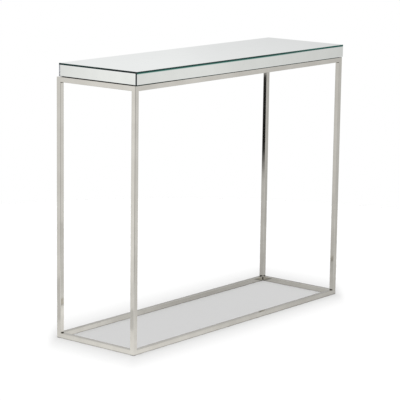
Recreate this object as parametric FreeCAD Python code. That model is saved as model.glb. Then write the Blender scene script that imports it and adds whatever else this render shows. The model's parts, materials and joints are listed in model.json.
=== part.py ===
import FreeCAD, Part
import math
import os

# Console table: a mirrored box top standing on a welded frame of square steel tube.
# Millimetres, +Z up. X runs along the table and Y across it. "Left" is -X, "front" is -Y.
# The origin is on the floor, under the middle of the table's overall box.

# Overall sizes
TABLE_HEIGHT = 820.0
FRAME_LENGTH = 1000.0
FRAME_DEPTH = 304.0
TOP_LENGTH = 998.0
TOP_DEPTH = 300.0
TOP_THICKNESS = 38.6
TOP_SHIFT_X = 3.5        # the loose-fitted top sits a little right of the frame's middle
TOP_SHIFT_Y = -3.0       # and a little forward of it

# Frame of square tube
TUBE = 15.0
TUBE_WALL = 1.2
TUBE_CORNER = 1.5        # outside corner radius
CAP_THICKNESS = 1.5      # plate welded into the open top of each leg

# Floor glides, pushed into the bottom of each leg
GLIDE_DROP = 0.5         # how far a glide stands out under its leg
GLIDE_LENGTH = 12.5
GLIDE_BASE = 2.0
GLIDE_WALL = 2.0
GLIDE_CLEARANCE = 0.1

# Rubber strips between the frame and the top
STRIP_THICKNESS = 1.4
STRIP_WIDTH = 6.0
STRIP_SETBACK = 7.5      # from the rail's outer face
STRIP_END_GAP = 20.0

# Mounting tabs, welded inside the top ring, and their fasteners
TAB_THICKNESS = 3.0
TAB_WIDTH = 30.0
TAB_REACH = 25.0
TAB_CORNER = 6.0
TAB_HOLE_R = 2.75
TAB_HOLE_REACH = 15.0    # from the rail's inner face
TAB_SPREAD = 320.0       # the long rails' tabs stand this far from the frame's middle
SCREW_R = 2.4
SCREW_HEAD_R = 4.75
SCREW_HEAD_HEIGHT = 3.5
SCREW_LENGTH = 16.0
SOCKET_ACROSS_FLATS = 3.0
SOCKET_DEPTH = 2.0
WASHER_R = 5.5
WASHER_THICKNESS = 1.0
SPACER_R = 8.0
INSERT_R = 3.5
INSERT_BORE_R = 2.5
INSERT_FLANGE_R = 5.0
INSERT_FLANGE_THICKNESS = 0.8
INSERT_LENGTH = 11.0

# Mirrored box top
PANE = 5.0               # mirror glass
PANE_ARRIS = 0.4         # small ground bevel on every edge
TAPE = 1.0               # double-sided mounting tape behind each pane
TOP_BOARD = 12.0
BASE_BOARD = 3.0
BASE_BOARD_CLEARANCE = 0.5
BASE_HOLE_R = 3.5
APRON_WIDTH = 40.0
BRACE_WIDTH = 30.0
BRACE_SPACING = 160.0
BRACE_COUNT = 3
TOP_TAPE_WIDTH = 20.0
TOP_TAPE_END_GAP = 20.0
TOP_TAPE_COUNT = 4
EDGE_TAPE_HEIGHT = 12.0
EDGE_TAPE_END_GAP = 12.0

# Wood screws that hold the top board to the aprons
WOOD_SCREW_R = 1.75
WOOD_SCREW_HEAD_R = 3.6
WOOD_SCREW_HEAD_HEIGHT = 2.2
WOOD_SCREW_LENGTH = 25.0
WOOD_SCREW_CLEARANCE = 0.1
WOOD_SCREW_SPACING = 232.0
WOOD_SCREWS_PER_SIDE = 5
WOOD_SCREW_END_Y = 60.0

# Places worked out from the sizes
LOW_X = min(-FRAME_LENGTH / 2, TOP_SHIFT_X - TOP_LENGTH / 2)
HIGH_X = max(FRAME_LENGTH / 2, TOP_SHIFT_X + TOP_LENGTH / 2)
LOW_Y = min(-FRAME_DEPTH / 2, TOP_SHIFT_Y - TOP_DEPTH / 2)
HIGH_Y = max(FRAME_DEPTH / 2, TOP_SHIFT_Y + TOP_DEPTH / 2)
FRAME_X = -(LOW_X + HIGH_X) / 2      # the frame's middle
FRAME_Y = -(LOW_Y + HIGH_Y) / 2
TOP_X = FRAME_X + TOP_SHIFT_X        # the top's middle
TOP_Y = FRAME_Y + TOP_SHIFT_Y
FRAME_LEFT = FRAME_X - FRAME_LENGTH / 2
FRAME_RIGHT = FRAME_X + FRAME_LENGTH / 2
FRAME_FRONT = FRAME_Y - FRAME_DEPTH / 2
FRAME_BACK = FRAME_Y + FRAME_DEPTH / 2
FRAME_BASE = GLIDE_DROP
TOP_BASE = TABLE_HEIGHT - TOP_THICKNESS
FRAME_TOP = TOP_BASE - STRIP_THICKNESS
TOP_PANE_BASE = TABLE_HEIGHT - PANE
BOARD_TOP = TOP_PANE_BASE - TAPE
BOARD_BASE = BOARD_TOP - TOP_BOARD
APRON_BASE = TOP_BASE + BASE_BOARD
CORE_X = TOP_LENGTH / 2 - PANE - TAPE      # half the wooden core's length
CORE_Y = TOP_DEPTH / 2 - PANE - TAPE       # half its depth

LEG_PLACES = {
    "front_left": (FRAME_LEFT, FRAME_FRONT),
    "front_right": (FRAME_RIGHT - TUBE, FRAME_FRONT),
    "back_left": (FRAME_LEFT, FRAME_BACK - TUBE),
    "back_right": (FRAME_RIGHT - TUBE, FRAME_BACK - TUBE),
}

# Each tab: its rail's inner face at the middle of the tab, and the way it points
TAB_PLACES = {
    "front_left": (FRAME_X - TAB_SPREAD, FRAME_FRONT + TUBE, 0, 1),
    "front_right": (FRAME_X + TAB_SPREAD, FRAME_FRONT + TUBE, 0, 1),
    "back_left": (FRAME_X - TAB_SPREAD, FRAME_BACK - TUBE, 0, -1),
    "back_right": (FRAME_X + TAB_SPREAD, FRAME_BACK - TUBE, 0, -1),
    "left": (FRAME_LEFT + TUBE, FRAME_Y, 1, 0),
    "right": (FRAME_RIGHT - TUBE, FRAME_Y, -1, 0),
}
BOLT_PLACES = [
    (x + way_x * TAB_HOLE_REACH, y + way_y * TAB_HOLE_REACH)
    for x, y, way_x, way_y in TAB_PLACES.values()
]


def box(low, high):
    """A block between two corners."""
    size = [high[i] - low[i] for i in range(3)]
    return Part.makeBox(*size, FreeCAD.Vector(*low))


def round_bar(low, high, axis, radius):
    """A block with the four edges along one axis rounded."""
    block = box(low, high)
    edges = [edge for edge in block.Edges if abs(edge.tangentAt(0)[axis]) > 0.5]
    return block.makeFillet(radius, edges)


def tube(low, high, axis):
    """Square tube between two corners, open at both ends."""
    inner_low = [value + (0 if i == axis else TUBE_WALL) for i, value in enumerate(low)]
    inner_high = [value - (0 if i == axis else TUBE_WALL) for i, value in enumerate(high)]
    return round_bar(low, high, axis, TUBE_CORNER).cut(box(inner_low, inner_high))


def rod(x, y, low, high, radius):
    """A vertical round rod."""
    return Part.makeCylinder(radius, high - low, FreeCAD.Vector(x, y, low))


def fused(pieces):
    """One solid from pieces that touch."""
    return pieces[0].multiFuse(pieces[1:]).removeSplitter()


def leg_outline(corner, low, high):
    """The solid bar that a leg's outside fills between two heights."""
    x, y = LEG_PLACES[corner]
    return round_bar((x, y, low), (x + TUBE, y + TUBE, high), 2, TUBE_CORNER)


def leg(corner):
    """One leg: a full-height tube, its ends rounded over on the frame's outside."""
    x, y = LEG_PLACES[corner]
    outer_x = x if corner.endswith("left") else x + TUBE
    outer_y = y if corner.startswith("front") else y + TUBE
    block = box((x, y, FRAME_BASE), (x + TUBE, y + TUBE, FRAME_TOP))
    edges = []
    for edge in block.Edges:
        middle = edge.CenterOfMass
        upright = abs(edge.tangentAt(0).z) > 0.5
        on_outside = abs(middle.x - outer_x) < 0.01 or abs(middle.y - outer_y) < 0.01
        if upright or on_outside:
            edges.append(edge)
    near = TUBE_WALL
    far = TUBE - TUBE_WALL
    bore = box((x + near, y + near, FRAME_BASE), (x + far, y + far, FRAME_TOP))
    return block.makeFillet(TUBE_CORNER, edges).cut(bore)


def leg_cap(corner):
    """The plate that closes a leg's open top, flush with it."""
    x, y = LEG_PLACES[corner]
    far = TUBE - TUBE_WALL
    low = (x + TUBE_WALL, y + TUBE_WALL, FRAME_TOP - CAP_THICKNESS)
    return box(low, (x + far, y + far, FRAME_TOP))


def floor_glide(corner):
    """A plastic glide: a hollow plug inside the leg, its base a little below the leg's end."""
    x, y = LEG_PLACES[corner]
    near = TUBE_WALL + GLIDE_CLEARANCE
    far = TUBE - near
    plug = box((x + near, y + near, 0), (x + far, y + far, GLIDE_LENGTH))
    near += GLIDE_WALL
    far -= GLIDE_WALL
    return plug.cut(box((x + near, y + near, GLIDE_BASE), (x + far, y + far, GLIDE_LENGTH)))


def rail_span(side, low, high):
    """A rail's two corners, from leg middle to leg middle, its axis, and the legs it meets."""
    half = TUBE / 2
    if side in ("front", "back"):
        y = LEG_PLACES[side + "_left"][1]
        start = (FRAME_LEFT + half, y, low)
        end = (FRAME_RIGHT - half, y + TUBE, high)
        return start, end, 0, (side + "_left", side + "_right")
    x = LEG_PLACES["front_" + side][0]
    start = (x, FRAME_FRONT + half, low)
    end = (x + TUBE, FRAME_BACK - half, high)
    return start, end, 1, ("front_" + side, "back_" + side)


def rail(side, low, high):
    """One ring's rail, its ends shaped to the legs, and on the short sides to the long rails."""
    start, end, axis, corners = rail_span(side, low, high)
    bar = tube(start, end, axis)
    for corner in corners:
        bar = bar.cut(leg_outline(corner, low, high))
    if side in ("left", "right"):
        for long_side in ("front", "back"):
            bar = bar.cut(round_bar(*rail_span(long_side, low, high)[:3], TUBE_CORNER))
    return bar


def mount_tab(place):
    """A flat tab on a top rail's inner face, flush with its upper side."""
    x, y, way_x, way_y = TAB_PLACES[place]
    half = TAB_WIDTH / 2
    low_x = min(x - half * abs(way_y), x + TAB_REACH * way_x)
    high_x = max(x + half * abs(way_y), x + TAB_REACH * way_x)
    low_y = min(y - half * abs(way_x), y + TAB_REACH * way_y)
    high_y = max(y + half * abs(way_x), y + TAB_REACH * way_y)
    plate = box((low_x, low_y, FRAME_TOP - TAB_THICKNESS), (high_x, high_y, FRAME_TOP))
    free_edges = []
    for edge in plate.Edges:
        middle = edge.CenterOfMass
        reach = (middle.x - x) * way_x + (middle.y - y) * way_y
        upright = abs(edge.tangentAt(0).z) > 0.5
        if upright and reach > TAB_REACH / 2:
            free_edges.append(edge)
    plate = plate.makeFillet(TAB_CORNER, free_edges)
    hole_x = x + way_x * TAB_HOLE_REACH
    hole_y = y + way_y * TAB_HOLE_REACH
    return plate.cut(rod(hole_x, hole_y, FRAME_TOP - TAB_THICKNESS, FRAME_TOP, TAB_HOLE_R))


def cushion_strip(side):
    """A rubber strip on a top rail, set back from its outer face."""
    near = STRIP_SETBACK
    far = STRIP_SETBACK + STRIP_WIDTH
    low_x = FRAME_LEFT + STRIP_END_GAP
    high_x = FRAME_RIGHT - STRIP_END_GAP
    low_y = FRAME_FRONT + STRIP_END_GAP
    high_y = FRAME_BACK - STRIP_END_GAP
    spans = {
        "front": (low_x, FRAME_FRONT + near, high_x, FRAME_FRONT + far),
        "back": (low_x, FRAME_BACK - far, high_x, FRAME_BACK - near),
        "left": (FRAME_LEFT + near, low_y, FRAME_LEFT + far, high_y),
        "right": (FRAME_RIGHT - far, low_y, FRAME_RIGHT - near, high_y),
    }
    x0, y0, x1, y1 = spans[side]
    return box((x0, y0, FRAME_TOP), (x1, y1, TOP_BASE))


def top_screw(x, y):
    """A socket-head machine screw, put in from below."""
    under_head = FRAME_TOP - TAB_THICKNESS - WASHER_THICKNESS
    head_base = under_head - SCREW_HEAD_HEIGHT
    head = rod(x, y, head_base, under_head, SCREW_HEAD_R)
    shank = rod(x, y, under_head, under_head + SCREW_LENGTH, SCREW_R)
    corner_radius = SOCKET_ACROSS_FLATS / math.sqrt(3)
    corners = []
    for i in range(7):
        angle = math.radians(60 * i)
        place = (x + corner_radius * math.cos(angle), y + corner_radius * math.sin(angle), head_base)
        corners.append(FreeCAD.Vector(*place))
    socket_face = Part.Face(Part.makePolygon(corners))
    socket = socket_face.extrude(FreeCAD.Vector(0, 0, SOCKET_DEPTH))
    return fused([head, shank]).cut(socket)


def top_washer(x, y):
    """The steel washer between a screw's head and its tab."""
    top = FRAME_TOP - TAB_THICKNESS
    ring = rod(x, y, top - WASHER_THICKNESS, top, WASHER_R)
    return ring.cut(rod(x, y, top - WASHER_THICKNESS, top, TAB_HOLE_R))


def spacer_washer(x, y):
    """The rubber washer between a tab and the top."""
    ring = rod(x, y, FRAME_TOP, TOP_BASE, SPACER_R)
    return ring.cut(rod(x, y, FRAME_TOP, TOP_BASE, TAB_HOLE_R))


def insert_outline(x, y):
    """The space that a threaded insert and its bore take from an apron."""
    flange = rod(x, y, APRON_BASE, APRON_BASE + INSERT_FLANGE_THICKNESS, INSERT_FLANGE_R)
    body = rod(x, y, APRON_BASE, APRON_BASE + INSERT_LENGTH, INSERT_R)
    return fused([flange, body])


def threaded_insert(x, y):
    """A flanged insert in an apron, which takes a machine screw from below."""
    bore = rod(x, y, APRON_BASE, APRON_BASE + INSERT_LENGTH, INSERT_BORE_R)
    return insert_outline(x, y).cut(bore)


def wood_screw(x, y, clearance=0.0):
    """A countersunk wood screw, flush with the top board's upper side."""
    neck = BOARD_TOP - WOOD_SCREW_HEAD_HEIGHT
    shank_r = WOOD_SCREW_R + clearance
    head_r = WOOD_SCREW_HEAD_R + clearance
    foot = FreeCAD.Vector(x, y, neck)
    head = Part.makeCone(shank_r, head_r, WOOD_SCREW_HEAD_HEIGHT, foot)
    shank = rod(x, y, BOARD_TOP - WOOD_SCREW_LENGTH - clearance, neck, shank_r)
    return fused([head, shank])


def wood_screw_places():
    """Screws along the front and back aprons, and one in each end of the side aprons."""
    long_y = CORE_Y - APRON_WIDTH / 2
    end_x = CORE_X - APRON_WIDTH / 2
    middle = (WOOD_SCREWS_PER_SIDE - 1) / 2
    places = []
    for i in range(WOOD_SCREWS_PER_SIDE):
        x = TOP_X + (i - middle) * WOOD_SCREW_SPACING
        places += [(x, TOP_Y - long_y), (x, TOP_Y + long_y)]
    for way in (-1, 1):
        x = TOP_X + way * end_x
        places += [(x, TOP_Y - WOOD_SCREW_END_Y), (x, TOP_Y + WOOD_SCREW_END_Y)]
    return places


def core_block(x0, y0, x1, y1, low, high):
    """A block of the top, given from the top's middle."""
    return box((TOP_X + x0, TOP_Y + y0, low), (TOP_X + x1, TOP_Y + y1, high))


def without_wood_screws(board):
    """A wooden piece with the holes for the wood screws cut through it."""
    for x, y in wood_screw_places():
        board = board.cut(wood_screw(x, y, WOOD_SCREW_CLEARANCE))
    return board


def top_board():
    """The wooden board that carries the top pane."""
    return without_wood_screws(core_block(-CORE_X, -CORE_Y, CORE_X, CORE_Y, BOARD_BASE, BOARD_TOP))


def apron(side):
    """One side of the wooden box under the top board."""
    inner_x = CORE_X - APRON_WIDTH
    inner_y = CORE_Y - APRON_WIDTH
    spans = {
        "front": (-CORE_X, -CORE_Y, CORE_X, -inner_y),
        "back": (-CORE_X, inner_y, CORE_X, CORE_Y),
        "left": (-CORE_X, -inner_y, -inner_x, inner_y),
        "right": (inner_x, -inner_y, CORE_X, inner_y),
    }
    board = without_wood_screws(core_block(*spans[side], APRON_BASE, BOARD_BASE))
    for x, y in BOLT_PLACES:
        board = board.cut(insert_outline(x, y))
    return board


def cross_brace(number):
    """A wooden brace across the inside of the top, counted from the left."""
    middle = (number - (BRACE_COUNT + 1) / 2) * BRACE_SPACING
    inner_y = CORE_Y - APRON_WIDTH
    low_x = middle - BRACE_WIDTH / 2
    return core_block(low_x, -inner_y, low_x + BRACE_WIDTH, inner_y, APRON_BASE, BOARD_BASE)


def base_board():
    """The thin black board that closes the top from below."""
    half_x = TOP_LENGTH / 2 - PANE - BASE_BOARD_CLEARANCE
    half_y = TOP_DEPTH / 2 - PANE - BASE_BOARD_CLEARANCE
    board = core_block(-half_x, -half_y, half_x, half_y, TOP_BASE, APRON_BASE)
    for x, y in BOLT_PLACES:
        board = board.cut(rod(x, y, TOP_BASE, APRON_BASE, BASE_HOLE_R))
    return board


def mirror_pane(place):
    """A mirror pane with a ground arris: the side panes stand under the top pane,
    and the left and right ones are held between the front and back ones."""
    out_x = TOP_LENGTH / 2
    out_y = TOP_DEPTH / 2
    in_x = out_x - PANE
    in_y = out_y - PANE
    spans = {
        "top": (-out_x, -out_y, out_x, out_y, TOP_PANE_BASE, TABLE_HEIGHT),
        "front": (-out_x, -out_y, out_x, -in_y, TOP_BASE, TOP_PANE_BASE),
        "back": (-out_x, in_y, out_x, out_y, TOP_BASE, TOP_PANE_BASE),
        "left": (-out_x, -in_y, -in_x, in_y, TOP_BASE, TOP_PANE_BASE),
        "right": (in_x, -in_y, out_x, in_y, TOP_BASE, TOP_PANE_BASE),
    }
    pane = core_block(*spans[place])
    return pane.makeChamfer(PANE_ARRIS, pane.Edges)


def top_tapes():
    """Strips of mounting tape under the top pane."""
    half_x = CORE_X - TOP_TAPE_END_GAP
    pitch = 2 * CORE_Y / TOP_TAPE_COUNT
    tapes = []
    for i in range(TOP_TAPE_COUNT):
        low_y = -CORE_Y + (i + 0.5) * pitch - TOP_TAPE_WIDTH / 2
        tape = core_block(-half_x, low_y, half_x, low_y + TOP_TAPE_WIDTH, BOARD_TOP, TOP_PANE_BASE)
        tapes.append(tape)
    return tapes


def edge_tape(side):
    """The strip of mounting tape behind one side pane."""
    long_x = CORE_X - EDGE_TAPE_END_GAP
    long_y = CORE_Y - EDGE_TAPE_END_GAP
    low = (TOP_BASE + TOP_PANE_BASE - EDGE_TAPE_HEIGHT) / 2
    spans = {
        "front": (-long_x, -CORE_Y - TAPE, long_x, -CORE_Y),
        "back": (-long_x, CORE_Y, long_x, CORE_Y + TAPE),
        "left": (-CORE_X - TAPE, -long_y, -CORE_X, long_y),
        "right": (CORE_X, -long_y, CORE_X + TAPE, long_y),
    }
    return core_block(*spans[side], low, low + EDGE_TAPE_HEIGHT)


def save(name, shapes):
    """Write one node's STEP file."""
    shape = shapes[0] if len(shapes) == 1 else Part.makeCompound(shapes)
    for solid in shape.Solids:
        if not solid.isValid():
            raise ValueError(name + " is not a valid solid")
    shape.exportStep(os.path.join("parts", name + ".step"))
    print(name, len(shape.Solids), "solid(s)", round(shape.Volume / 1000, 2), "cm3")


def main():
    os.makedirs("parts", exist_ok=True)
    sides = ("front", "back", "left", "right")
    for corner in LEG_PLACES:
        save("leg_" + corner, [leg(corner)])
        save("leg_cap_" + corner, [leg_cap(corner)])
        save("floor_glide_" + corner, [floor_glide(corner)])
    for side in sides:
        save("bottom_rail_" + side, [rail(side, FRAME_BASE, FRAME_BASE + TUBE)])
        save("top_rail_" + side, [rail(side, FRAME_TOP - TUBE, FRAME_TOP)])
        save("cushion_strip_" + side, [cushion_strip(side)])
        save("apron_" + side, [apron(side)])
        save("edge_tape_" + side, [edge_tape(side)])
        save("mirror_pane_" + side, [mirror_pane(side)])
    for place in TAB_PLACES:
        save("mount_tab_" + place, [mount_tab(place)])
    save("top_screws", [top_screw(x, y) for x, y in BOLT_PLACES])
    save("top_washers", [top_washer(x, y) for x, y in BOLT_PLACES])
    save("spacer_washers", [spacer_washer(x, y) for x, y in BOLT_PLACES])
    save("threaded_inserts", [threaded_insert(x, y) for x, y in BOLT_PLACES])
    save("mirror_pane_top", [mirror_pane("top")])
    save("top_tapes", top_tapes())
    save("top_board", [top_board()])
    save("wood_screws", [wood_screw(x, y) for x, y in wood_screw_places()])
    for number in range(1, BRACE_COUNT + 1):
        save("cross_brace_" + str(number), [cross_brace(number)])
    save("base_board", [base_board()])


main()
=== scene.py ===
import json
import math

import bmesh
import bpy
from mathutils import Matrix, Vector


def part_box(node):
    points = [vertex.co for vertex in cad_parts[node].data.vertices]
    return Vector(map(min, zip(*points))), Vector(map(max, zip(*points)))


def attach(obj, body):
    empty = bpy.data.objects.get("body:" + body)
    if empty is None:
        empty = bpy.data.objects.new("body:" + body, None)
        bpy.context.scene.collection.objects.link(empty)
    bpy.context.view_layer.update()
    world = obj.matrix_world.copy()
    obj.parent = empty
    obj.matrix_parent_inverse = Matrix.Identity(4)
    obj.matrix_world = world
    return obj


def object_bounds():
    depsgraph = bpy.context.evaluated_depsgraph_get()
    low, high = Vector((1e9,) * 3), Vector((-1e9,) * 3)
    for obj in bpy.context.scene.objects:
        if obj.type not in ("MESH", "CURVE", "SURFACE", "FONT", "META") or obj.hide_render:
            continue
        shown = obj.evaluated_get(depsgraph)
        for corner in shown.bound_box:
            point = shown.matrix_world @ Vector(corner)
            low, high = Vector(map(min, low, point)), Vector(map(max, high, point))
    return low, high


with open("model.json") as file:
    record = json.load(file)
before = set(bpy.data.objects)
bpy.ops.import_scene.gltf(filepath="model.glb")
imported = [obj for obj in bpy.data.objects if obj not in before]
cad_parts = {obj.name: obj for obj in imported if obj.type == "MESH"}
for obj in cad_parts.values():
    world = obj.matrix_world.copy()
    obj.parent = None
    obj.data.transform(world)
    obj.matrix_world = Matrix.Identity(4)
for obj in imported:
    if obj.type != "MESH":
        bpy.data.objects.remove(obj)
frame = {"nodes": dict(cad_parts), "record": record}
cad_low, cad_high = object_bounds()

# Metres, in the CAD frame: X along the table, Y across it, Z up. The camera looks at the
# front long side (-Y) and the left short side (-X).

MM = 0.001
NODES = frame["nodes"]
CORNERS = ("front_left", "front_right", "back_left", "back_right")
SIDES = ("front", "back", "left", "right")
CENTRE = (cad_low + cad_high) / 2


# ---------------------------------------------------------------- camera

VIEW_AZIMUTH = math.radians(-50.743)
VIEW_ELEVATION = math.radians(11.072)
VIEW_ROLL = math.radians(0.780)
VIEW_DISTANCE = 5.7318
VIEW_AIM = Vector((-0.0162, 0.0069, -0.0436))     # from the middle of the table's box
LENS_MM = 167.24
SENSOR_MM = 36.0
CLIP_END = 100.0


def make_camera():
    """The photograph's view."""
    across = math.cos(VIEW_ELEVATION)
    back = Vector((
        math.sin(VIEW_AZIMUTH) * across,
        -math.cos(VIEW_AZIMUTH) * across,
        math.sin(VIEW_ELEVATION),
    ))
    data = bpy.data.cameras.new("camera")
    data.lens = LENS_MM
    data.sensor_width = SENSOR_MM
    data.clip_end = CLIP_END
    camera = bpy.data.objects.new("camera", data)
    turn = (-back).to_track_quat("-Z", "Y").to_matrix().to_4x4()
    roll = Matrix.Rotation(VIEW_ROLL, 4, "Z")
    place = Matrix.Translation(CENTRE + VIEW_AIM + back * VIEW_DISTANCE)
    camera.matrix_world = place @ turn @ roll
    bpy.context.scene.collection.objects.link(camera)
    bpy.context.scene.camera = camera


# ---------------------------------------------------------------- node helpers

MIX_A = 6                 # the colour sockets of a Mix node
MIX_B = 7
MIX_RESULT = 2
NOISE_RANGE = (0.3, 0.7)          # nearly all of a noise's values lie between these
NOISE_MIDDLE = (0.35, 0.65)       # and most of them between these


def colour(r, g, b):
    return (r, g, b, 1.0)


def new_material(name):
    """A material with its tree and its principled shader."""
    material = bpy.data.materials.new(name)
    material.use_nodes = True
    tree = material.node_tree
    return material, tree, tree.nodes["Principled BSDF"]


def bare_material(name, shader_type):
    """A material whose only shader is of that type: the material, its tree and the shader's
    colour socket."""
    material = bpy.data.materials.new(name)
    material.use_nodes = True
    tree = material.node_tree
    tree.nodes.clear()
    shader = tree.nodes.new(shader_type)
    output = tree.nodes.new("ShaderNodeOutputMaterial")
    tree.links.new(shader.outputs[0], output.inputs["Surface"])
    return material, tree, shader.inputs["Color"]


def feed(tree, socket, value):
    """Links a socket to another, or sets it to a number or colour."""
    if isinstance(value, bpy.types.NodeSocket):
        tree.links.new(value, socket)
    else:
        socket.default_value = value


def math_node(tree, operation, a, b=0.0):
    node = tree.nodes.new("ShaderNodeMath")
    node.operation = operation
    feed(tree, node.inputs[0], a)
    feed(tree, node.inputs[1], b)
    return node.outputs[0]


def square(tree, value):
    return math_node(tree, "MULTIPLY", value, value)


def ramp(tree, value, low, high, out_low=0.0, out_high=1.0, shape="SMOOTHSTEP"):
    """Maps value from low..high to out_low..out_high, clamped."""
    node = tree.nodes.new("ShaderNodeMapRange")
    node.interpolation_type = shape
    feed(tree, node.inputs["Value"], value)
    node.inputs["From Min"].default_value = low
    node.inputs["From Max"].default_value = high
    node.inputs["To Min"].default_value = out_low
    node.inputs["To Max"].default_value = out_high
    return node.outputs["Result"]


def band(tree, value, edges):
    """1 between the edges and 0 outside them: the rise's start and end, then the fall's."""
    rise = ramp(tree, value, edges[0], edges[1])
    fall = ramp(tree, value, edges[2], edges[3], 1.0, 0.0)
    return math_node(tree, "MULTIPLY", rise, fall)


def mix_colour(tree, amount, a, b):
    node = tree.nodes.new("ShaderNodeMix")
    node.data_type = "RGBA"
    feed(tree, node.inputs[0], amount)
    feed(tree, node.inputs[MIX_A], a)
    feed(tree, node.inputs[MIX_B], b)
    return node.outputs[MIX_RESULT]


def object_position(tree, stretch=(1.0, 1.0, 1.0)):
    """The place on the object, in metres, scaled along each axis."""
    coords = tree.nodes.new("ShaderNodeTexCoord")
    mapping = tree.nodes.new("ShaderNodeMapping")
    mapping.inputs["Scale"].default_value = stretch
    tree.links.new(coords.outputs["Object"], mapping.inputs["Vector"])
    return mapping.outputs["Vector"]


def split(tree, vector):
    """The three parts of a vector."""
    node = tree.nodes.new("ShaderNodeSeparateXYZ")
    tree.links.new(vector, node.inputs[0])
    return node.outputs


def noise(tree, position, scale, detail=2.0, roughness=0.5):
    node = tree.nodes.new("ShaderNodeTexNoise")
    tree.links.new(position, node.inputs["Vector"])
    node.inputs["Scale"].default_value = scale
    node.inputs["Detail"].default_value = detail
    node.inputs["Roughness"].default_value = roughness
    return node.outputs["Fac"]


def bump(tree, shader, height, distance, strength=1.0):
    """Adds a bump of that height in metres, on top of any bump already there."""
    node = tree.nodes.new("ShaderNodeBump")
    node.inputs["Strength"].default_value = strength
    node.inputs["Distance"].default_value = distance
    tree.links.new(height, node.inputs["Height"])
    for link in list(shader.inputs["Normal"].links):
        tree.links.new(link.from_socket, node.inputs["Normal"])
    tree.links.new(node.outputs["Normal"], shader.inputs["Normal"])


# ---------------------------------------------------------------- steel

STEEL_LIGHT = colour(0.735, 0.713, 0.658)
STEEL_DARK = colour(0.685, 0.662, 0.608)
STEEL_ROUGH = (0.03, 0.06)
STEEL_LINE_ROUGH = 0.04           # what the polishing lines add to that
STEEL_LINE_STRETCH = 0.02         # they are 50 times as long as they are wide
HEAT_DARK = colour(0.045, 0.042, 0.038)
HEAT_LIGHT = colour(0.13, 0.12, 0.10)
HEAT_ROUGH = (0.28, 0.42)


def polished_steel(axis):
    """Bright polished stainless tube, with faint polishing lines along one axis."""
    material, tree, shader = new_material("polished_steel_" + "xyz"[axis])
    position = object_position(tree)
    stretch = [1.0, 1.0, 1.0]
    stretch[axis] = STEEL_LINE_STRETCH
    smudge = noise(tree, position, scale=14.0, detail=4.0, roughness=0.6)
    lines = noise(tree, object_position(tree, stretch), scale=900.0, detail=3.0, roughness=0.6)
    tone = mix_colour(tree, ramp(tree, smudge, *NOISE_MIDDLE), STEEL_DARK, STEEL_LIGHT)
    tree.links.new(tone, shader.inputs["Base Color"])
    shader.inputs["Metallic"].default_value = 1.0
    line_rough = math_node(tree, "MULTIPLY", lines, STEEL_LINE_ROUGH)
    rough = math_node(tree, "ADD", line_rough, ramp(tree, smudge, *NOISE_RANGE, *STEEL_ROUGH))
    tree.links.new(rough, shader.inputs["Roughness"])
    waves = noise(tree, position, scale=22.0, detail=1.0)
    bump(tree, shader, waves, 0.25 * MM, strength=0.6)
    bump(tree, shader, lines, 0.01 * MM, strength=0.5)
    return material


def weld_steel():
    """The frame's steel where a weld was left unpolished: darker, duller and tinted by heat."""
    material, tree, shader = new_material("weld_steel")
    position = object_position(tree)
    tint = noise(tree, position, scale=420.0, detail=3.0, roughness=0.6)
    tree.links.new(mix_colour(tree, tint, HEAT_DARK, HEAT_LIGHT), shader.inputs["Base Color"])
    shader.inputs["Metallic"].default_value = 1.0
    tree.links.new(ramp(tree, tint, *NOISE_RANGE, *HEAT_ROUGH), shader.inputs["Roughness"])
    bump(tree, shader, noise(tree, position, scale=1400.0), 0.06 * MM)
    return material


# ---------------------------------------------------------------- mirror glass

# painted reflection: the side panes' silver is a warmer copy of the top's, tinted to match what
# those panes reflect
SILVER = {"top": colour(0.875, 0.908, 0.898), "side": colour(0.895, 0.912, 0.880)}
SILVER_HAZE = 0.975           # how much darker the silver is in its faint patches
# painted highlight: the paler silver along each pane's rim
SILVER_RIM_HIGHLIGHT = colour(0.97, 0.98, 0.975)
SILVER_FACING = (0.80, 0.90)  # how squarely a silvered face looks along the pane's thin axis
RIM_WIDTH = (2.8 * MM, 1.2 * MM)           # the painted highlight along the rim starts and is full this far in
RIM_SHARE = 0.8
SPECK = colour(0.45, 0.46, 0.43)
SPECK_CELLS = 70.0            # cells in a metre, each with room for one fault
SPECK_SIZE = (0.10, 0.04)     # a fault's outside and inside, in parts of a cell
SPECK_RARITY = 0.90           # the share of cells without one
SPECK_SHARE = 0.35

EDGE_GREEN = colour(0.000, 0.045, 0.038)
EDGE_GREEN_LIT = colour(0.012, 0.150, 0.120)
EDGE_DEEP = colour(0.005, 0.013, 0.012)
# painted light: the pale colour of the back pane's cut ends, as if lit from behind
EDGE_PALE_LIT = colour(0.62, 0.64, 0.68)
EDGE_GROUND = 0.25            # how much the ground surface darkens a cut edge, at most
EDGE_GREEN_FACING = (0.5, 0.8)             # how squarely a green cut edge faces its way
EDGE_LIT_TOP = 2.0 * MM       # below a pane's top, where its long edge starts to lighten
EDGE_LIT_BOTTOM = 4.5 * MM
END_GREEN = (0.15, 1.00)      # how green the top pane's ends are, at the front and at the back
END_GREEN_RISE = (-0.10, 0.08)             # where across the table that changes
GREEN_LINE = colour(0.06, 0.33, 0.26)      # painted reflection of the top's green edge, along the top of the pane below it
GREEN_LINE_TOP = 1.0 * MM
GREEN_LINE_BOTTOM = 3.2 * MM
GREEN_LINE_SHARE = (0.9, 0.15)
GREEN_FADE = (0.10, 0.38)     # where along the table the greens get paler, towards the right
DARK_LINE = 1.5 * MM          # painted dark line along a side pane's foot: painted reflection of its own bottom edge and painted shade of the seam below
DARK_LINE_SOLID = 0.7         # the share of that height where it is fully dark
DARK_LINE_FADE = (-0.50, -0.10)            # where along the table that line fades out
GLASS_SPECULAR = 0.2
GLASS_ROUGH = (0.16, 0.02)    # of the cut edges, and of the mirror
GLASS_HAZE = 0.03             # what the faint patches add to that


def pane_axis(pane):
    """The axis that a pane is thin along."""
    low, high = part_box(pane)
    size = high - low
    return min(range(3), key=lambda i: size[i])


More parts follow.
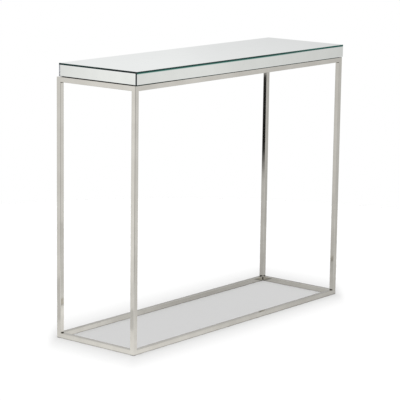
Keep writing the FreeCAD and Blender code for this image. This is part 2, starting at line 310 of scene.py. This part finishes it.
def rim_distance(tree, position, pane, axis):
    """The distance from a pane's outline, across its broad face."""
    low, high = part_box(pane)
    parts = split(tree, position)
    nearest = None
    for i in range(3):
        if i == axis:
            continue
        from_low = math_node(tree, "SUBTRACT", parts[i], low[i])
        from_high = math_node(tree, "SUBTRACT", high[i], parts[i])
        near = math_node(tree, "MINIMUM", from_low, from_high)
        nearest = near if nearest is None else math_node(tree, "MINIMUM", nearest, near)
    return nearest


def specks(tree, position):
    """Where the silver has a small fault: a spot in a few of the cells."""
    cells = tree.nodes.new("ShaderNodeTexVoronoi")
    tree.links.new(position, cells.inputs["Vector"])
    cells.inputs["Scale"].default_value = SPECK_CELLS
    pick = tree.nodes.new("ShaderNodeSeparateColor")
    tree.links.new(cells.outputs["Color"], pick.inputs[0])
    spot = ramp(tree, cells.outputs["Distance"], *SPECK_SIZE)
    rare = math_node(tree, "GREATER_THAN", pick.outputs[0], SPECK_RARITY)
    return math_node(tree, "MULTIPLY", spot, rare)


def cut_glass(tree, position, pane, axis, facing, end_colour):
    """The colour of a pane's cut edges: green on those that face up or down on the front and
    back panes and across the table on the others, and the end colour on the rest."""
    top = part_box(pane)[1].z
    x, y, height = split(tree, position)
    if axis == 2:
        rise = ramp(tree, y, *END_GREEN_RISE, *END_GREEN)
        end_colour = mix_colour(tree, rise, end_colour, EDGE_GREEN)
    lit = ramp(tree, height, top - EDGE_LIT_TOP, top - EDGE_LIT_BOTTOM)
    lit = math_node(tree, "MAXIMUM", lit, ramp(tree, x, *GREEN_FADE))
    green = mix_colour(tree, lit, EDGE_GREEN, EDGE_GREEN_LIT)
    green_edge = ramp(tree, facing[2 if axis == 1 else 1], *EDGE_GREEN_FACING)
    ground = noise(tree, position, scale=260.0, detail=3.0)
    ground = ramp(tree, ground, *NOISE_RANGE, 0.0, EDGE_GROUND)
    return mix_colour(tree, ground, mix_colour(tree, green_edge, end_colour, green), EDGE_DEEP)


def green_line(tree, position, pane):
    """How much painted reflection of the top's green edge lies along the top of a long side's
    pane.
    """
    parts = split(tree, position)
    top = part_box(pane)[1].z
    line = ramp(tree, parts[2], top - GREEN_LINE_BOTTOM, top - GREEN_LINE_TOP)
    fade = ramp(tree, parts[0], *GREEN_FADE, *GREEN_LINE_SHARE)
    return math_node(tree, "MULTIPLY", line, fade)


def dark_line(tree, position, pane):
    """How much painted dark line lies along a side pane's foot: a painted reflection of its own
    bottom edge and painted shade of the seam below it.
    """
    parts = split(tree, position)
    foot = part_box(pane)[0].z
    line = ramp(tree, parts[2], foot + DARK_LINE, foot + DARK_LINE_SOLID * DARK_LINE)
    fade = ramp(tree, parts[0], *DARK_LINE_FADE, 1.0, 0.0)
    return math_node(tree, "MULTIPLY", line, fade)


def silvering(tree, position, pane, axis, mottle):
    """The colour of a pane's broad faces: silver with faint patches, a few faults, a painted
    highlight along its rim, a painted reflection of the top's green edge, and a painted dark line
    along its foot."""
    # painted reflection: top and side panes use differently tinted copies of the silver
    clean = SILVER["top" if axis == 2 else "side"]
    hazy = colour(*[part * SILVER_HAZE for part in clean[:3]])
    silver = mix_colour(tree, ramp(tree, mottle, *NOISE_MIDDLE), hazy, clean)
    faults = math_node(tree, "MULTIPLY", specks(tree, position), SPECK_SHARE)
    silver = mix_colour(tree, faults, silver, SPECK)
    # painted highlight: a paler rim along the pane's outline
    rim = ramp(tree, rim_distance(tree, position, pane, axis), *RIM_WIDTH)
    silver = mix_colour(tree, math_node(tree, "MULTIPLY", rim, RIM_SHARE), silver, SILVER_RIM_HIGHLIGHT)
    # painted reflection of the top's green edge along the long panes' tops
    if axis == 1:
        silver = mix_colour(tree, green_line(tree, position, pane), silver, GREEN_LINE)
    # painted shade and reflection: a dark line along the side panes' feet
    if axis != 2:
        silver = mix_colour(tree, dark_line(tree, position, pane), silver, EDGE_DEEP)
    return silver


def mirror_glass(pane, end_colour):
    """Silvered glass: mirror on its broad faces, dark green glass on its cut edges."""
    axis = pane_axis(pane)
    material, tree, shader = new_material("mirror_glass_" + pane)
    position = object_position(tree)
    geometry = tree.nodes.new("ShaderNodeNewGeometry")
    normal = split(tree, geometry.outputs["Normal"])
    facing = [math_node(tree, "ABSOLUTE", normal[i]) for i in range(3)]
    broad = ramp(tree, facing[axis], *SILVER_FACING)
    mottle = noise(tree, position, scale=30.0, detail=4.0, roughness=0.65)
    silver = silvering(tree, position, pane, axis, mottle)
    cut = cut_glass(tree, position, pane, axis, facing, end_colour)
    tree.links.new(mix_colour(tree, broad, cut, silver), shader.inputs["Base Color"])
    tree.links.new(broad, shader.inputs["Metallic"])
    shader.inputs["Specular IOR Level"].default_value = GLASS_SPECULAR
    rough = ramp(tree, broad, 0.0, 1.0, *GLASS_ROUGH)
    haze = math_node(tree, "MULTIPLY", mottle, GLASS_HAZE)
    tree.links.new(math_node(tree, "ADD", rough, haze), shader.inputs["Roughness"])
    waves = noise(tree, position, scale=5.0, detail=1.0)
    bump(tree, shader, waves, 0.2 * MM, strength=0.4)
    return material


# ---------------------------------------------------------------- other finishes

# By material slot: the darker and lighter tone, the grain, the surface's roughness from and to,
# and how high the grain stands. Two of them also have patches of another tone.
MATT_FINISHES = {
    "glide_plastic": {
        "tones": (colour(0.020, 0.020, 0.021), colour(0.036, 0.036, 0.037)),
        "grain": {"scale": 1500.0},
        "rough": (0.45, 0.60),
        "height": 0.04 * MM,
    },
    "black_rubber": {
        "tones": (colour(0.010, 0.010, 0.010), colour(0.026, 0.026, 0.025)),
        "grain": {"scale": 700.0, "detail": 4.0, "roughness": 0.7},
        "rough": (0.70, 0.90),
        "height": 0.10 * MM,
    },
    "foam_tape": {
        "tones": (colour(0.70, 0.70, 0.68), colour(0.84, 0.84, 0.82)),
        "grain": {"scale": 1200.0},
        "rough": (0.80, 0.95),
        "height": 0.20 * MM,
    },
    "fibreboard": {
        "tones": (colour(0.36, 0.25, 0.15), colour(0.58, 0.44, 0.29)),
        "grain": {"scale": 450.0, "detail": 6.0, "roughness": 0.75},
        "rough": (0.75, 0.92),
        "height": 0.30 * MM,
        "patches": {"scale": 9.0, "detail": 3.0},
        "patch_range": (0.40, 0.70),
        "patch_share": 0.25,
        "patch_tone": colour(0.30, 0.21, 0.13),
    },
    "black_board": {
        "tones": (colour(0.012, 0.012, 0.012), colour(0.024, 0.023, 0.022)),
        "grain": {"scale": 380.0, "detail": 3.0, "roughness": 0.6},
        "rough": (0.42, 0.62),
        "height": 0.15 * MM,
        "patches": {"scale": 18.0, "detail": 5.0, "roughness": 0.7},
        "patch_range": (0.62, 0.78),
        "patch_share": 0.5,
        "patch_tone": colour(0.06, 0.055, 0.05),
    },
}
TURNED_FINISHES = {
    "plated_steel": {
        "tones": (colour(0.52, 0.53, 0.54), colour(0.66, 0.66, 0.65)),
        "rough": (0.22, 0.38),
    },
    "insert_brass": {
        "tones": (colour(0.62, 0.46, 0.22), colour(0.78, 0.60, 0.32)),
        "rough": (0.25, 0.42),
    },
}
TURNING_STRETCH = (1.0, 1.0, 12.0)         # turning marks change faster along the screws


def matt_finish(name):
    """Plastic, rubber, foam or board: a grain in its tone, its roughness and its surface."""
    finish = MATT_FINISHES[name]
    material, tree, shader = new_material(name)
    position = object_position(tree)
    grain = noise(tree, position, **finish["grain"])
    tone = mix_colour(tree, grain, *finish["tones"])
    if "patches" in finish:
        patches = noise(tree, position, **finish["patches"])
        share = ramp(tree, patches, *finish["patch_range"], 0.0, finish["patch_share"])
        tone = mix_colour(tree, share, tone, finish["patch_tone"])
    tree.links.new(tone, shader.inputs["Base Color"])
    rough = ramp(tree, grain, *NOISE_RANGE, *finish["rough"])
    tree.links.new(rough, shader.inputs["Roughness"])
    bump(tree, shader, grain, finish["height"])
    return material


def turned_finish(name):
    """Small machined hardware: a tone, a haze and fine turning marks."""
    finish = TURNED_FINISHES[name]
    material, tree, shader = new_material(name)
    haze = noise(tree, object_position(tree), scale=180.0, detail=4.0, roughness=0.6)
    marks = noise(tree, object_position(tree, TURNING_STRETCH), scale=600.0)
    tree.links.new(mix_colour(tree, haze, *finish["tones"]), shader.inputs["Base Color"])
    shader.inputs["Metallic"].default_value = 1.0
    rough = ramp(tree, haze, *NOISE_RANGE, *finish["rough"])
    tree.links.new(rough, shader.inputs["Roughness"])
    bump(tree, shader, marks, 0.03 * MM)
    return material


def paint(node, material):
    """Gives a CAD node or a piece one material."""
    if not node.material_slots:
        node.data.materials.append(material)
    for slot in node.material_slots:
        slot.material = material


def paint_cad_nodes():
    """Gives every CAD node its material."""
    steel = [polished_steel(axis) for axis in range(3)]
    for corner in CORNERS:
        paint(NODES["leg_" + corner], steel[2])
        paint(NODES["leg_cap_" + corner], steel[0])
    for side in SIDES:
        along = 0 if side in ("front", "back") else 1
        paint(NODES["bottom_rail_" + side], steel[along])
        paint(NODES["top_rail_" + side], steel[along])
        # painted light: the back pane's ends are drawn pale, the others dark
        end_colour = EDGE_PALE_LIT if side == "back" else EDGE_DEEP
        paint(NODES["mirror_pane_" + side], mirror_glass("mirror_pane_" + side, end_colour))
    paint(NODES["mirror_pane_top"], mirror_glass("mirror_pane_top", EDGE_DEEP))
    finishes = {name: matt_finish(name) for name in MATT_FINISHES}
    finishes.update({name: turned_finish(name) for name in TURNED_FINISHES})
    for entry in frame["record"]["subparts"]:
        if entry["material_slot"] in finishes:
            paint(NODES[entry["node"]], finishes[entry["material_slot"]])
        elif entry["node"].startswith("mount_tab"):
            paint(NODES[entry["node"]], steel[0])


# ---------------------------------------------------------------- floor

FLOOR_RADIUS = 1.9
FLOOR_SIDES = 96
FLOOR_PALE = colour(0.745, 0.745, 0.745)
FLOOR_DARKER = colour(0.740, 0.740, 0.740)
FLOOR_ROUGH = 0.95


def circle(radius, height, sides):
    """The points of a circle round the origin."""
    turns = [2 * math.pi * i / sides for i in range(sides)]
    return [Vector((radius * math.cos(turn), radius * math.sin(turn), height)) for turn in turns]


def stage_mesh(name, points, faces, material):
    mesh = bpy.data.meshes.new(name)
    mesh.from_pydata(points, [], faces)
    mesh.materials.append(material)
    obj = bpy.data.objects.new(name, mesh)
    bpy.context.scene.collection.objects.link(obj)
    return obj


def stage_disc(name, points, material):
    """One flat face inside a ring of points."""
    return stage_mesh(name, points, [tuple(range(len(points)))], material)


def stage_strip(name, start, end, material):
    """A closed strip of faces between two rings of points."""
    count = len(start)
    faces = [(i, (i + 1) % count, (i + 1) % count + count, i + count) for i in range(count)]
    return stage_mesh(name, start + end, faces, material)


def floor_material():
    """Matt pale floor, seen only from above so that the table's underside can be looked at."""
    material, tree, shader = new_material("floor")
    grain = noise(tree, object_position(tree), scale=4.0)
    tree.links.new(mix_colour(tree, grain, FLOOR_DARKER, FLOOR_PALE), shader.inputs["Base Color"])
    shader.inputs["Roughness"].default_value = FLOOR_ROUGH
    shader.inputs["Specular IOR Level"].default_value = 0.0
    geometry = tree.nodes.new("ShaderNodeNewGeometry")
    clear = tree.nodes.new("ShaderNodeBsdfTransparent")
    mix = tree.nodes.new("ShaderNodeMixShader")
    tree.links.new(geometry.outputs["Backfacing"], mix.inputs[0])
    tree.links.new(shader.outputs[0], mix.inputs[1])
    tree.links.new(clear.outputs[0], mix.inputs[2])
    tree.links.new(mix.outputs[0], tree.nodes["Material Output"].inputs["Surface"])
    return material


def make_floor():
    """The floor that the table stands on and throws its shadow on."""
    stage_disc("floor", circle(FLOOR_RADIUS, cad_low.z, FLOOR_SIDES), floor_material())


# ---------------------------------------------------------------- surround

SURROUND_RADIUS = 1.25
SURROUND_HEIGHT = 2.6
SURROUND_SIDES = 128
SURROUND_LIFT = 0.3 * MM                   # its floor's height above the visible floor
# How bright the surround is by compass direction, in degrees from +X towards +Y: at the foot of
# its walls, higher up them, and on its floor.
SURROUND_LOW = (
    (0, 0.53), (20, 0.42), (55, 0.40), (90, 0.62), (115, 0.50), (130, 0.66), (146, 0.78),
    (156, 0.90), (180, 0.74), (200, 0.44), (262, 0.44), (290, 0.72), (308, 0.79), (318, 0.67),
    (328, 0.61), (340, 0.54),
)
SURROUND_HIGH = (
    (0, 0.67), (24, 0.80), (36, 0.83), (46, 0.88), (70, 0.88), (90, 0.75), (115, 0.61),
    (130, 0.65), (146, 0.81), (156, 0.90), (180, 0.74), (200, 0.44), (262, 0.44), (290, 0.74),
    (308, 0.81), (318, 0.76), (328, 0.72), (340, 0.61),
)
SURROUND_FLOOR = (
    (0, 0.56), (20, 0.50), (70, 0.54), (120, 0.60), (150, 0.66), (163, 0.82), (175, 0.88),
    (195, 0.94), (207, 0.86), (221, 0.81), (265, 0.71), (314, 0.69), (334, 0.62), (345, 0.57),
)
SURROUND_CHANGE = (0.15, 1.0)              # the heights between which low turns into high
FLAG_ANGLES = (108, 113, 125, 130)         # a black flag: where its edges start and end
FLAG_HEIGHTS = (0.04, 0.22, 0.50, 0.54)
FLAG_BLACK = colour(0.012, 0.012, 0.012)
PATCH_ANGLES = (148, 168, 182, 188)        # a darker patch on the floor, left of the table
PATCH_RADII = (0.69, 0.74, 0.91, 0.95)
PATCH_SHADE = 0.27
CONTACT_REACH = 10.0 * MM                  # the painted contact shade on the floor close beside the bottom rails
CONTACT_SHADE = 0.5
BLACK = colour(0, 0, 0)


def by_direction(tree, turn, stops):
    """A brightness that follows the compass direction, given as a part of a full turn."""
    node = tree.nodes.new("ShaderNodeValToRGB")
    node.color_ramp.interpolation = "EASE"
    points = node.color_ramp.elements
    cycle = list(stops) + [(360, stops[0][1])]
    for spare in range(len(cycle) - len(points)):
        points.new((spare + 1) / len(cycle))
    for point, (degrees, value) in zip(points, cycle):
        point.position = degrees / 360
        point.color = colour(value, value, value)
    tree.links.new(turn, node.inputs[0])
    return node.outputs["Color"]


def between_directions(tree, turn, angles):
    """1 between the compass directions and 0 outside them, with soft edges as a band has."""
    return band(tree, turn, [degrees / 360 for degrees in angles])


def compass_turn(tree, x, y):
    """The direction of a place from the table's middle, as a part of a full turn from +X."""
    back_y = math_node(tree, "MULTIPLY", y, -1.0)
    back_x = math_node(tree, "MULTIPLY", x, -1.0)
    angle = math_node(tree, "ARCTAN2", back_y, back_x)
    return ramp(tree, angle, -math.pi, math.pi, shape="LINEAR")


def surround_wall_material():
    """Glowing grey studio walls with one black flag painted on them, for the metal and the mirrors
    to reflect.
    """
    material, tree, tint = bare_material("surround_wall", "ShaderNodeEmission")
    x, y, height = split(tree, object_position(tree))
    turn = compass_turn(tree, x, y)
    low = by_direction(tree, turn, SURROUND_LOW)
    high = by_direction(tree, turn, SURROUND_HIGH)
    tone = mix_colour(tree, ramp(tree, height, *SURROUND_CHANGE, shape="LINEAR"), low, high)
    across = between_directions(tree, turn, FLAG_ANGLES)
    flag = math_node(tree, "MULTIPLY", across, band(tree, height, FLAG_HEIGHTS))
    tree.links.new(mix_colour(tree, flag, tone, FLAG_BLACK), tint)
    return material


def rail_distance(tree, x, y):
    """How far a place on the floor is from the side of the nearest bottom rail."""
    ring_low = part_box("leg_front_left")[0]
    ring_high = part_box("leg_back_right")[1]
    middle = (ring_low + ring_high) / 2
    half_tube = (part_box("leg_front_left")[1].x - ring_low.x) / 2
    past = []
    for axis, value in enumerate((x, y)):
        off_middle = math_node(tree, "ABSOLUTE", math_node(tree, "SUBTRACT", value, middle[axis]))
        reach = ring_high[axis] - half_tube - middle[axis]
        past.append(math_node(tree, "SUBTRACT", off_middle, reach))
    line = math_node(tree, "ABSOLUTE", math_node(tree, "MAXIMUM", past[0], past[1]))
    return math_node(tree, "SUBTRACT", line, half_tube)


def surround_floor_material():
    """Glowing grey studio floor for the metal to reflect, with one darker patch, and a painted
    contact shade close beside the rails."""
    material, tree, tint = bare_material("surround_floor", "ShaderNodeEmission")
    x, y = split(tree, object_position(tree))[:2]
    turn = compass_turn(tree, x, y)
    tone = by_direction(tree, turn, SURROUND_FLOOR)
    distance = math_node(tree, "SQRT", math_node(tree, "ADD", square(tree, x), square(tree, y)))
    patch = between_directions(tree, turn, PATCH_ANGLES)
    patch = math_node(tree, "MULTIPLY", patch, band(tree, distance, PATCH_RADII))
    shade = math_node(tree, "MULTIPLY", patch, PATCH_SHADE)
    contact = ramp(tree, rail_distance(tree, x, y), 0.0, CONTACT_REACH, CONTACT_SHADE, 0.0)
    shade = math_node(tree, "MAXIMUM", shade, contact)
    tree.links.new(mix_colour(tree, shade, tone, BLACK), tint)
    return material


def make_surround():
    """Glowing walls and a floor round the table that only reflections see; their brightness is
    painted to make the reflections.
    """
    foot = circle(SURROUND_RADIUS, cad_low.z + SURROUND_LIFT, SURROUND_SIDES)
    head = circle(SURROUND_RADIUS, SURROUND_HEIGHT, SURROUND_SIDES)
    wall = stage_strip("surround_wall", foot, head, surround_wall_material())
    floor = stage_disc("surround_floor", foot, surround_floor_material())
    for part in (wall, floor):
        part.visible_camera = False
        part.visible_diffuse = False
        part.visible_shadow = False


# ---------------------------------------------------------------- light

SCRIM_RISE = 0.3          # the scrim's height above the table
SCRIM_EDGE = 0.35         # the share of light that it lets through at the table's outline
SCRIM_NEAR = 0.165        # how far its shade reaches along the camera's axis, on the near side
SCRIM_FAR = 0.255         # and on the far side
SCRIM_ACROSS = 0.032      # how far it reaches across that axis
SCRIM_FALL = 1.25         # how its shade falls away from the outline: 1 is evenly
SCRIM_SIDES = 96
SKY_FILL = 0.5            # what the white room gives to matt surfaces, next to its own white
OVERHEAD_ENERGY = 1.50
FILL_ENERGY = 1.36
SUN_ANGLE = math.radians(0.6)


def scrim_material():
    """Shades the overhead light beside the table, less and less away from its outline."""
    material, tree, tint = bare_material("scrim", "ShaderNodeBsdfTransparent")
    reach = tree.nodes.new("ShaderNodeAttribute")
    reach.attribute_name = "reach"
    left = ramp(tree, reach.outputs["Fac"], 0.0, 1.0, 1.0, 0.0, "LINEAR")
    depth = math_node(tree, "POWER", left, SCRIM_FALL)
    tree.links.new(ramp(tree, depth, 0.0, 1.0, 1.0, SCRIM_EDGE, "LINEAR"), tint)
    return material


def scrim_push(way, axis, across):
    """How far the scrim's shade reaches out from the table, towards one direction."""
    reach = SCRIM_FAR if way.dot(axis) > 0 else SCRIM_NEAR
    part_along = reach * way.dot(axis)
    part_across = SCRIM_ACROSS * way.dot(across)
    size = math.hypot(part_along, part_across)
    return axis * (reach * part_along / size) + across * (SCRIM_ACROSS * part_across / size)


def make_scrim():
    """A sheet above the table that softens the edge of its shadow, mostly along one axis, as
    a long strip light would. Only the light sees it."""
    axis = Vector((-math.sin(VIEW_AZIMUTH), math.cos(VIEW_AZIMUTH), 0))
    across = Vector((axis.y, -axis.x, 0))
    inner = []
    outer = []
    for i in range(SCRIM_SIDES):
        turn = 2 * math.pi * (i + 0.5) / SCRIM_SIDES
        way = Vector((math.cos(turn), math.sin(turn), 0))
        corner = Vector((
            cad_high.x if way.x > 0 else cad_low.x,
            cad_high.y if way.y > 0 else cad_low.y,
            cad_high.z + SCRIM_RISE,
        ))
        inner.append(corner)
        outer.append(corner + scrim_push(way, axis, across))
    scrim = stage_strip("scrim", inner, outer, scrim_material())
    reach = scrim.data.attributes.new("reach", "FLOAT", "POINT")
    reach.data.foreach_set("value", [0.0] * len(inner) + [1.0] * len(outer))
    scrim.visible_camera = False
    scrim.visible_diffuse = False
    scrim.visible_glossy = False
    scrim.visible_transmission = False


def make_room():
    """A white room, which lights matt surfaces less than its own white."""
    world = bpy.data.worlds.new("studio")
    world.use_nodes = True
    tree = world.node_tree
    back = tree.nodes["Background"]
    back.inputs["Color"].default_value = colour(1, 1, 1)
    path = tree.nodes.new("ShaderNodeLightPath")
    dim = math_node(tree, "MULTIPLY", path.outputs["Is Diffuse Ray"], SKY_FILL - 1.0)
    tree.links.new(math_node(tree, "ADD", dim, 1.0), back.inputs["Strength"])
    bpy.context.scene.world = world


def make_sun(name, energy):
    """A light from straight above, which no reflection shows."""
    data = bpy.data.lights.new(name, "SUN")
    data.energy = energy
    data.angle = SUN_ANGLE
    sun = bpy.data.objects.new(name, data)
    sun.visible_glossy = False
    bpy.context.scene.collection.objects.link(sun)
    return data


def make_lights():
    """The room, an overhead light, and a shadowless fill that keeps the shadow pale and even."""
    make_room()
    make_sun("overhead", OVERHEAD_ENERGY)
    make_sun("fill", FILL_ENERGY).use_shadow = False


def set_colours():
    """Shows colours as they are, with no film curve."""
    scene = bpy.context.scene
    scene.view_settings.view_transform = "Standard"
    scene.view_settings.look = "None"
    scene.view_settings.exposure = 0.0
    scene.view_settings.gamma = 1.0


# ---------------------------------------------------------------- pieces

WELD_SIZE = 3.2 * MM
WELD_STEPS = 6             # faces across a weld's hollow side
WELD_RIPPLE = 0.12         # how much a weld swells and thins, as a share of its size
WELD_RIPPLE_LENGTH = 1.1 * MM
WELD_RIPPLE_ROWS = 4       # rows of points in one ripple
WELD_END_SIZE = 0.35       # how small a weld's ends are, as a share of its size
WELD_END_RISE = 6.0        # how fast it grows from there: by this share over its whole length
WELD_SINK = 0.15 * MM      # how far a weld's back lies inside the tubes it joins
WELD_INSET = 1.5 * MM      # how far its ends stay in from the tubes' faces


def weld_row(mesh, base, size, side_a, side_b):
    """One cross-section of a weld: the point inside its corner, then its hollow side."""
    row = [mesh.verts.new(base - (side_a + side_b) * WELD_SINK)]
    for k in range(WELD_STEPS + 1):
        turn = math.pi / 2 * k / WELD_STEPS
        out_a = size * (1 - math.sin(turn))
        out_b = size * (1 - math.cos(turn))
        if k == 0:
            out_b = -WELD_SINK
        if k == WELD_STEPS:
            out_a = -WELD_SINK
        row.append(mesh.verts.new(base + side_a * out_a + side_b * out_b))
    return row


def add_weld(mesh, start, end, side_a, side_b):
    """A small fillet weld from start to end, in the corner between two faces that leave the
    line along side_a and side_b. Its hollow side has the ripples of a hand-made weld."""
    length = (end - start).length
    steps = max(WELD_RIPPLE_ROWS, int(length / (WELD_RIPPLE_LENGTH / WELD_RIPPLE_ROWS)))
    rows = []
    for i in range(steps + 1):
        t = i / steps
        ripple = 1 + WELD_RIPPLE * math.sin(2 * math.pi * t * length / WELD_RIPPLE_LENGTH)
        taper = min(1.0, WELD_END_SIZE + WELD_END_RISE * min(t, 1 - t))
        rows.append(weld_row(mesh, start.lerp(end, t), WELD_SIZE * ripple * taper, side_a, side_b))
    for near, far in zip(rows, rows[1:]):
        for k in range(len(near)):
            following = (k + 1) % len(near)
            mesh.faces.new((near[k], near[following], far[following], far[k]))
    mesh.faces.new(rows[0])
    mesh.faces.new(list(reversed(rows[-1])))


def weld_lines(corner, low_z, high_z, face_z, out):
    """The three welds at one corner of a ring: where each starts and ends, and the directions
    of the two faces it joins. The ring is from low_z to high_z, and the legs leave it at
    face_z, in the direction out."""
    low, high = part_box("leg_" + corner)
    left = corner.endswith("left")
    front = corner.startswith("front")
    x = high.x if left else low.x
    y = high.y if front else low.y
    inward_x = Vector((1 if left else -1, 0, 0))
    inward_y = Vector((0, 1 if front else -1, 0))
    across_x = (Vector((x, low.y + WELD_INSET, face_z)), Vector((x, high.y - WELD_INSET, face_z)))
    across_y = (Vector((low.x + WELD_INSET, y, face_z)), Vector((high.x - WELD_INSET, y, face_z)))
    upright = (Vector((x, y, low_z + WELD_INSET)), Vector((x, y, high_z - WELD_INSET)))
    return (
        (*across_x, inward_x, out),
        (*across_y, inward_y, out),
        (*upright, inward_x, inward_y),
    )


def make_piece(name, mesh, material):
    """A smooth piece from a bmesh, riding on the frame."""
    data = bpy.data.meshes.new(name)
    mesh.to_mesh(data)
    mesh.free()
    data.polygons.foreach_set("use_smooth", [True] * len(data.polygons))
    piece = bpy.data.objects.new(name, data)
    bpy.context.scene.collection.objects.link(piece)
    paint(piece, material)
    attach(piece, "root")


def make_ring_welds(ring, material):
    """The welds at the four corners of one ring: each leg to its two rails, and rail to rail."""
    low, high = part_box(ring + "_rail_front")
    face_z = high.z if ring == "bottom" else low.z
    out = Vector((0, 0, 1 if ring == "bottom" else -1))
    for corner in CORNERS:
        mesh = bmesh.new()
        for line in weld_lines(corner, low.z, high.z, face_z, out):
            add_weld(mesh, *line)
        bmesh.ops.recalc_face_normals(mesh, faces=mesh.faces)
        make_piece("weld_" + ring + "_" + corner, mesh, material)


# ---------------------------------------------------------------- main

make_camera()
set_colours()
make_floor()
make_surround()
make_scrim()
make_lights()
paint_cad_nodes()
weld_material = weld_steel()
make_ring_welds("bottom", weld_material)
make_ring_welds("top", weld_material)
